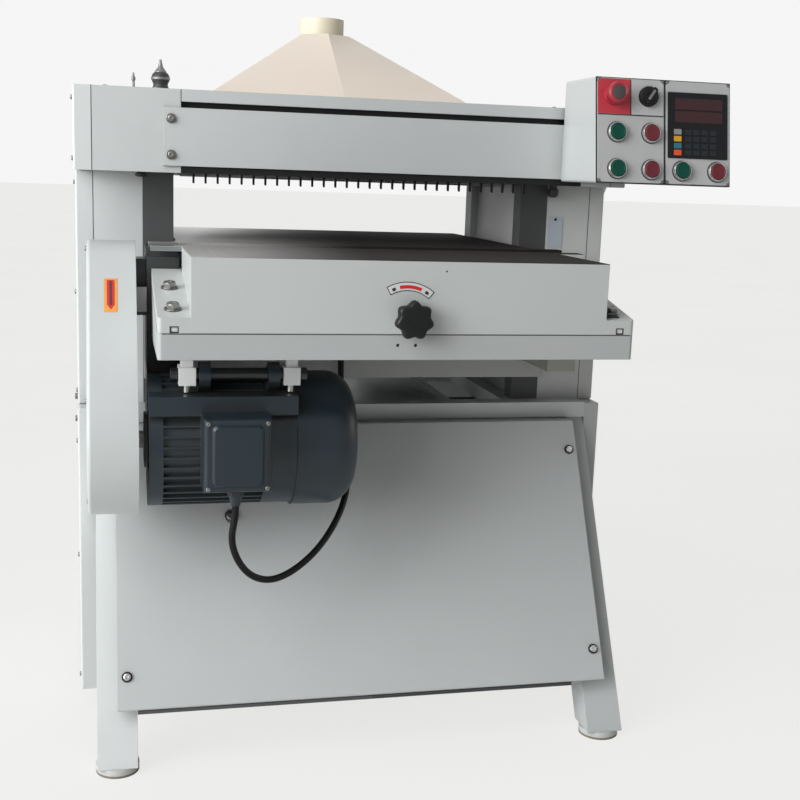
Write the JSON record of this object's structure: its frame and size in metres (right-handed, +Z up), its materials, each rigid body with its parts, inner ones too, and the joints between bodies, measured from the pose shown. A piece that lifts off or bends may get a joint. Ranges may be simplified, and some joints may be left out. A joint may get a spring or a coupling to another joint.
{
  "type": "double-sided planer",
  "caption": "Double-sided wood planer with a splayed base, lifting table with infeed bed and lower cutter, fixed head with upper cutter and feed rollers, dust hood and control box.",
  "frame": {"origin": "on the floor, midway between the four anchor holes in the feet", "axes": "+Z up, +Y along the feed from the operator's side to the outfeed side, +X to the operator's right"},
  "size_m": [1.0982, 1.1543, 1.289],
  "materials": {
    "grey_paint": "semi-gloss",
    "beige_paint": "satin",
    "dark_paint": "satin",
    "motor_paint": "semi-gloss",
    "table_iron": "ground",
    "bare_steel": "turned",
    "zinc_plate": "zinc plated",
    "chrome_trim": "polished",
    "panel_paint": "satin",
    "black_plastic": "moulded",
    "green_plastic": "moulded",
    "red_plastic": "moulded",
    "belt_rubber": "moulded"
  },
  "bodies": {
    "frame": {"base_legs": "grey_paint", "base_top_frame": "grey_paint", "foot_pads": "zinc_plate", "base_front_panel": "grey_paint", "base_rear_panel": "grey_paint", "chip_tray": "grey_paint", "columns": "grey_paint", "column_guides": "dark_paint", "side_covers": "grey_paint", "frame_bolts": "zinc_plate", "lift_screw_bearings": "bare_steel", "lift_drive": "motor_paint", "head_blocks": "grey_paint", "head_beams": "grey_paint", "head_dark_rails": "dark_paint", "head_front_panel": "grey_paint", "head_sheet_covers": "grey_paint", "dust_hood": "beige_paint", "head_bearings": "bare_steel", "feed_drive": "motor_paint", "upper_motor": "motor_paint", "upper_belt": "belt_rubber", "upper_belt_guard": "grey_paint", "control_box": "grey_paint", "control_faceplates": "panel_paint", "button_bezels": "chrome_trim", "display_unit": "black_plastic", "head_fittings": "zinc_plate"},
    "carriage": {"saddle": "grey_paint", "cutter_arms": "dark_paint", "carriage_bearings": "bare_steel", "bed_table": "table_iron", "bed_lip": "bare_steel", "infeed_knee": "grey_paint", "motor_hinge": "bare_steel", "lower_motor": "motor_paint", "lower_belt": "belt_rubber", "lower_belt_guard": "grey_paint", "terminal_box": "motor_paint", "motor_cable": "belt_rubber"},
    "infeed": {"infeed_table": "table_iron", "lock_bolts": "zinc_plate"},
    "depth_knob": {"depth_knob": "black_plastic"},
    "lower_cutter": {"lower_cutterhead": "bare_steel"},
    "lower_drive": {"lower_motor_shaft": "bare_steel"},
    "upper_cutter": {"upper_cutterhead": "bare_steel"},
    "upper_drive": {"upper_motor_shaft": "bare_steel"},
    "infeed_roller": {"infeed_roller": "bare_steel"},
    "outfeed_roller": {"outfeed_roller": "bare_steel"},
    "fingers": {"anti_kickback_fingers": "bare_steel"},
    "left_screw": {"left_lift_screw": "bare_steel"},
    "right_screw": {"right_lift_screw": "bare_steel"},
    "emergency_stop": {"emergency_stop": "red_plastic"},
    "feed_speed_knob": {"feed_speed_knob": "black_plastic"},
    "upper_cutter_start_button": {"upper_cutter_start_button": "green_plastic"},
    "upper_cutter_stop_button": {"upper_cutter_stop_button": "red_plastic"},
    "lower_cutter_start_button": {"lower_cutter_start_button": "green_plastic"},
    "lower_cutter_stop_button": {"lower_cutter_stop_button": "red_plastic"},
    "feed_start_button": {"feed_start_button": "green_plastic"},
    "feed_stop_button": {"feed_stop_button": "red_plastic"}
  },
  "joints": [
    {"name": "table_lift", "type": "slide", "parent": "frame", "child": "carriage", "axis": [0, 0, 1], "range_m": [-0.03, 0.09]},
    {"name": "infeed_depth", "type": "slide", "parent": "carriage", "child": "infeed", "axis": [0, 0.9806, 0.1961], "range_m": [-0.025, 0]},
    {"name": "depth_knob_turn", "type": "hinge", "parent": "infeed", "child": "depth_knob", "pos_m": [0.006, -0.64, 0.771], "axis": [0, 1, 0], "range_deg": [-90, 0]},
    {"name": "lower_cutter_spin", "type": "hinge", "parent": "carriage", "child": "lower_cutter", "pos_m": [0, -0.325, 0.798], "axis": [1, 0, 0], "continuous": true},
    {"name": "lower_drive_spin", "type": "hinge", "parent": "carriage", "child": "lower_drive", "pos_m": [-0.42, -0.425, 0.55], "axis": [1, 0, 0], "continuous": true},
    {"name": "upper_cutter_spin", "type": "hinge", "parent": "frame", "child": "upper_cutter", "pos_m": [0, 0, 1.0252], "axis": [1, 0, 0], "continuous": true},
    {"name": "upper_drive_spin", "type": "hinge", "parent": "frame", "child": "upper_drive", "pos_m": [0.5, 0.39, 0.658], "axis": [1, 0, 0], "continuous": true},
    {"name": "infeed_roller_spin", "type": "hinge", "parent": "frame", "child": "infeed_roller", "pos_m": [0, -0.112, 1.0075], "axis": [1, 0, 0], "continuous": true},
    {"name": "outfeed_roller_spin", "type": "hinge", "parent": "frame", "child": "outfeed_roller", "pos_m": [0, 0.112, 1.0075], "axis": [1, 0, 0], "continuous": true},
    {"name": "finger_swing", "type": "hinge", "parent": "frame", "child": "fingers", "pos_m": [0, -0.238, 0.99], "axis": [1, 0, 0], "range_deg": [0, 70]},
    {"name": "left_screw_turn", "type": "hinge", "parent": "frame", "child": "left_screw", "pos_m": [-0.396, 0, 0.7], "axis": [0, 0, 1], "continuous": true},
    {"name": "right_screw_turn", "type": "hinge", "parent": "frame", "child": "right_screw", "pos_m": [0.396, 0, 0.7], "axis": [0, 0, 1], "continuous": true},
    {"name": "stop_press", "type": "slide", "parent": "frame", "child": "emergency_stop", "axis": [0, 0.9865, -0.164], "range_m": [0, 0.005], "stiffness_N_per_m": 400},
    {"name": "speed_turn", "type": "hinge", "parent": "frame", "child": "feed_speed_knob", "pos_m": [0.4519, -0.41905, 1.12302], "axis": [0, 0.9865, -0.164], "range_deg": [-135, 135]},
    {"name": "upper_cutter_start_press", "type": "slide", "parent": "frame", "child": "upper_cutter_start_button", "axis": [0, 0.9865, -0.164], "range_m": [0, 0.003], "stiffness_N_per_m": 300},
    {"name": "upper_cutter_stop_press", "type": "slide", "parent": "frame", "child": "upper_cutter_stop_button", "axis": [0, 0.9865, -0.164], "range_m": [0, 0.003], "stiffness_N_per_m": 300},
    {"name": "lower_cutter_start_press", "type": "slide", "parent": "frame", "child": "lower_cutter_start_button", "axis": [0, 0.9865, -0.164], "range_m": [0, 0.003], "stiffness_N_per_m": 300},
    {"name": "lower_cutter_stop_press", "type": "slide", "parent": "frame", "child": "lower_cutter_stop_button", "axis": [0, 0.9865, -0.164], "range_m": [0, 0.003], "stiffness_N_per_m": 300},
    {"name": "feed_start_press", "type": "slide", "parent": "frame", "child": "feed_start_button", "axis": [0, 0.9865, -0.164], "range_m": [0, 0.003], "stiffness_N_per_m": 300},
    {"name": "feed_stop_press", "type": "slide", "parent": "frame", "child": "feed_stop_button", "axis": [0, 0.9865, -0.164], "range_m": [0, 0.003], "stiffness_N_per_m": 300}
  ],
  "couplings": [
    {"joint": "left_screw_turn", "follows": "table_lift", "rad_per_m": 523.6},
    {"joint": "right_screw_turn", "follows": "table_lift", "rad_per_m": 523.6},
    {"joint": "depth_knob_turn", "follows": "infeed_depth", "rad_per_m": 62.832},
    {"joint": "lower_drive_spin", "follows": "lower_cutter_spin", "ratio": 0.58823},
    {"joint": "upper_drive_spin", "follows": "upper_cutter_spin", "ratio": 0.58823},
    {"joint": "outfeed_roller_spin", "follows": "infeed_roller_spin", "ratio": 1}
  ]
}
